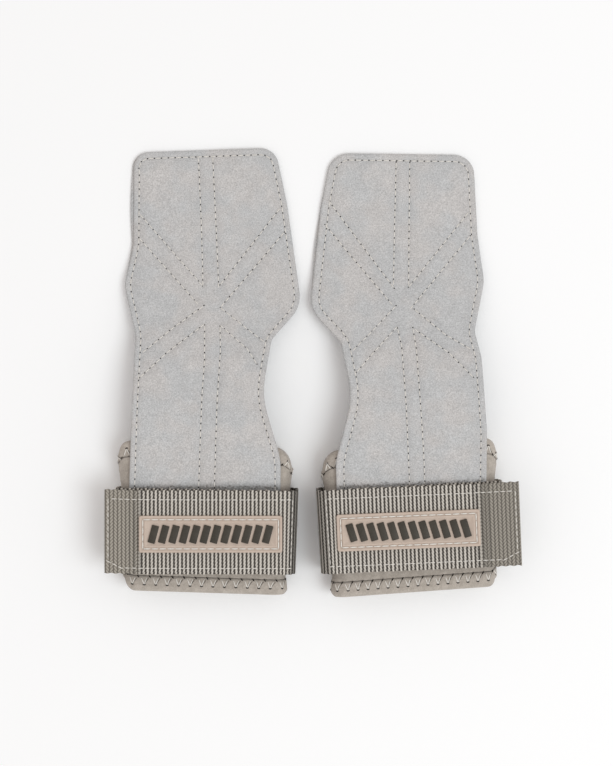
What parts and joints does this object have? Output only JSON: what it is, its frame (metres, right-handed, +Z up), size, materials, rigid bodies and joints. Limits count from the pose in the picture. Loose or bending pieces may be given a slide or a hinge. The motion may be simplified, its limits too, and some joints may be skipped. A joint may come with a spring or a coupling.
{
  "type": "lifting hand grips",
  "caption": "Pair of padded wrist cuffs with quilted suede palm flaps and wide hook-and-loop webbing straps, lying flat and closed.",
  "frame": {"origin": "centre of the pair's overall box, on the surface that both grips lie on", "axes": "+X from the left-hand grip to the right-hand grip, +Y from the wrist end to the finger end of the palm flaps, +Z up from the surface they lie on"},
  "size_m": [0.2496, 0.2732, 0.029],
  "materials": {
    "suede": "napped split suede",
    "flap_core": "stiff woven backing",
    "cuff_fabric": "smooth microfibre",
    "lining": "brushed knit",
    "foam": "closed-cell foam",
    "webbing": "coarse woven webbing",
    "loop_tape": "brushed loop pile",
    "hook_tape": "moulded hooks",
    "label": "matte moulded rubber",
    "label_ribs": "matte moulded rubber",
    "thread": "bonded thread"
  },
  "bodies": {
    "left_cuff": {"left_cuff_foam": "foam", "left_cuff_cover": "cuff_fabric", "left_cuff_lining": "lining", "left_cuff_finger_hem": "cuff_fabric", "left_cuff_arm_hem": "cuff_fabric", "left_flap_root": "suede", "left_strap_wrap": "webbing", "left_loop_tape": "loop_tape"},
    "left_flap": {"left_flap_back": "suede", "left_flap_core": "flap_core", "left_flap_face": "suede", "left_flap_thread": "thread"},
    "left_strap": {"left_strap_front": "webbing", "left_hook_tape": "hook_tape", "left_label_plate": "label", "left_label_ribs": "label_ribs"},
    "left_tail": {"left_strap_tail": "webbing", "left_tail_hook_tape": "hook_tape"},
    "right_cuff": {"right_cuff_foam": "foam", "right_cuff_cover": "cuff_fabric", "right_cuff_lining": "lining", "right_cuff_finger_hem": "cuff_fabric", "right_cuff_arm_hem": "cuff_fabric", "right_flap_root": "suede", "right_strap_wrap": "webbing", "right_loop_tape": "loop_tape"},
    "right_flap": {"right_flap_back": "suede", "right_flap_core": "flap_core", "right_flap_face": "suede", "right_flap_thread": "thread"},
    "right_strap": {"right_strap_front": "webbing", "right_hook_tape": "hook_tape", "right_label_plate": "label", "right_label_ribs": "label_ribs"},
    "right_tail": {"right_strap_tail": "webbing", "right_tail_hook_tape": "hook_tape"}
  },
  "joints": [
    {"name": "left_flap_fold", "type": "hinge", "parent": "left_cuff", "child": "left_flap", "pos_m": [-0.06503, -0.06813, 0.0217], "axis": [1, 0, 0], "range_deg": [0, 115]},
    {"name": "left_strap_open", "type": "hinge", "parent": "left_cuff", "child": "left_strap", "pos_m": [-0.01743, -0.09673, 0.0268], "axis": [0, 1, 0], "range_deg": [0, 110]},
    {"name": "left_tail_peel", "type": "hinge", "parent": "left_strap", "child": "left_tail", "pos_m": [-0.10603, -0.09673, 0.0268], "axis": [0, 1, 0], "range_deg": [0, 80]},
    {"name": "right_grip_lift", "type": "slide", "parent": "left_cuff", "child": "right_cuff", "axis": [0, 0, 1], "range_m": [0, 0.16]},
    {"name": "right_flap_fold", "type": "hinge", "parent": "right_cuff", "child": "right_flap", "pos_m": [0.05942, -0.06575, 0.0217], "axis": [0.9992, 0.0401, 0], "range_deg": [0, 115]},
    {"name": "right_strap_open", "type": "hinge", "parent": "right_cuff", "child": "right_strap", "pos_m": [0.01301, -0.09624, 0.0268], "axis": [0.0401, -0.9992, 0], "range_deg": [0, 110]},
    {"name": "right_tail_peel", "type": "hinge", "parent": "right_strap", "child": "right_tail", "pos_m": [0.10154, -0.09269, 0.0268], "axis": [0.0401, -0.9992, 0], "range_deg": [0, 80]}
  ]
}
